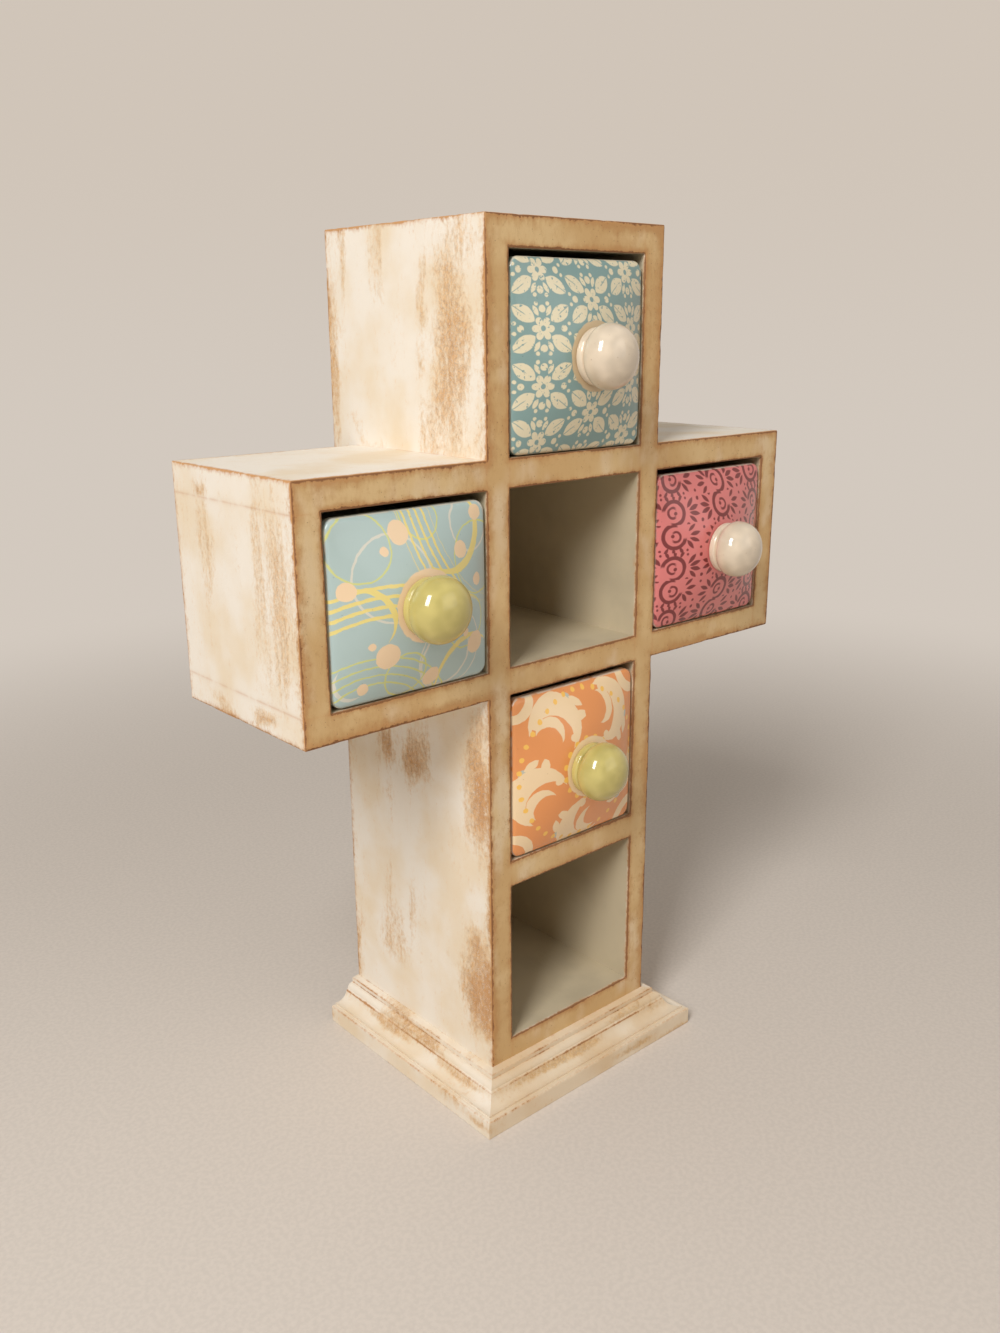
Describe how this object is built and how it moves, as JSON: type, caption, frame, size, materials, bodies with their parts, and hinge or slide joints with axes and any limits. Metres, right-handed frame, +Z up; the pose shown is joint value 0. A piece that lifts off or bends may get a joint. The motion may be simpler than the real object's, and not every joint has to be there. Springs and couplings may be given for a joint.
{
  "type": "tea bag organizer",
  "caption": "Cross-shaped wooden tea bag organizer with open pigeonholes, a moulded plinth and glazed stoneware drawers with round knobs.",
  "frame": {"origin": "on the table, under the middle of the whole object's width and depth, knobs included", "axes": "+Z up, the drawers face -Y, +X to the right as seen from the front"},
  "size_m": [0.276, 0.1328, 0.382],
  "materials": {
    "distressed_paint": "cream paint rubbed back to brown on edges and in vertical patches, dull satin",
    "back_panel_paint": "thin board, sage-cream paint, matt",
    "panel_pin_steel": "dull bright steel",
    "teal_glaze": "gloss glaze on stoneware, teal ground with a cream repeat pattern",
    "pale_blue_glaze": "gloss glaze on stoneware, pale blue ground with yellow and peach pattern",
    "coral_glaze": "gloss glaze on stoneware, coral ground with dark red pattern",
    "orange_glaze": "gloss glaze on stoneware, orange ground with cream pattern",
    "cream_knob_glaze": "gloss cream glaze with fine brown specks",
    "lime_knob_glaze": "gloss yellow-green glaze",
    "brass_sleeve": "turned brass",
    "fibre_washer": "red vulcanised fibre, matt",
    "zinc_steel": "zinc plated"
  },
  "bodies": {
    "carcass": {"column_side_left": "distressed_paint", "column_side_right": "distressed_paint", "column_floor": "distressed_paint", "shelf_lower": "distressed_paint", "shelf_middle": "distressed_paint", "shelf_upper": "distressed_paint", "column_top": "distressed_paint", "column_back_panel": "back_panel_paint", "column_back_pins": "panel_pin_steel", "arm_left_top": "distressed_paint", "arm_left_bottom": "distressed_paint", "arm_left_end": "distressed_paint", "arm_left_back_panel": "back_panel_paint", "arm_left_back_pins": "panel_pin_steel", "arm_right_top": "distressed_paint", "arm_right_bottom": "distressed_paint", "arm_right_end": "distressed_paint", "arm_right_back_panel": "back_panel_paint", "arm_right_back_pins": "panel_pin_steel", "plinth_front": "distressed_paint", "plinth_left": "distressed_paint", "plinth_right": "distressed_paint"},
    "upper_drawer_body": {"upper_drawer": "teal_glaze", "upper_knob": "cream_knob_glaze", "upper_knob_sleeve": "brass_sleeve", "upper_knob_washer": "fibre_washer", "upper_knob_screw": "zinc_steel"},
    "lower_drawer_body": {"lower_drawer": "orange_glaze", "lower_knob": "lime_knob_glaze", "lower_knob_sleeve": "brass_sleeve", "lower_knob_washer": "fibre_washer", "lower_knob_screw": "zinc_steel"},
    "left_drawer_body": {"left_drawer": "pale_blue_glaze", "left_knob": "lime_knob_glaze", "left_knob_sleeve": "brass_sleeve", "left_knob_washer": "fibre_washer", "left_knob_screw": "zinc_steel"},
    "right_drawer_body": {"right_drawer": "coral_glaze", "right_knob": "cream_knob_glaze", "right_knob_sleeve": "brass_sleeve", "right_knob_washer": "fibre_washer", "right_knob_screw": "zinc_steel"}
  },
  "joints": [
    {"name": "upper_drawer_slide", "type": "slide", "parent": "carcass", "child": "upper_drawer_body", "axis": [0, -1, 0], "range_m": [0, 0.1015]},
    {"name": "lower_drawer_slide", "type": "slide", "parent": "carcass", "child": "lower_drawer_body", "axis": [0, -1, 0], "range_m": [0, 0.1015]},
    {"name": "left_drawer_slide", "type": "slide", "parent": "carcass", "child": "left_drawer_body", "axis": [0, -1, 0], "range_m": [0, 0.0835]},
    {"name": "right_drawer_slide", "type": "slide", "parent": "carcass", "child": "right_drawer_body", "axis": [0, -1, 0], "range_m": [0, 0.0835]}
  ]
}
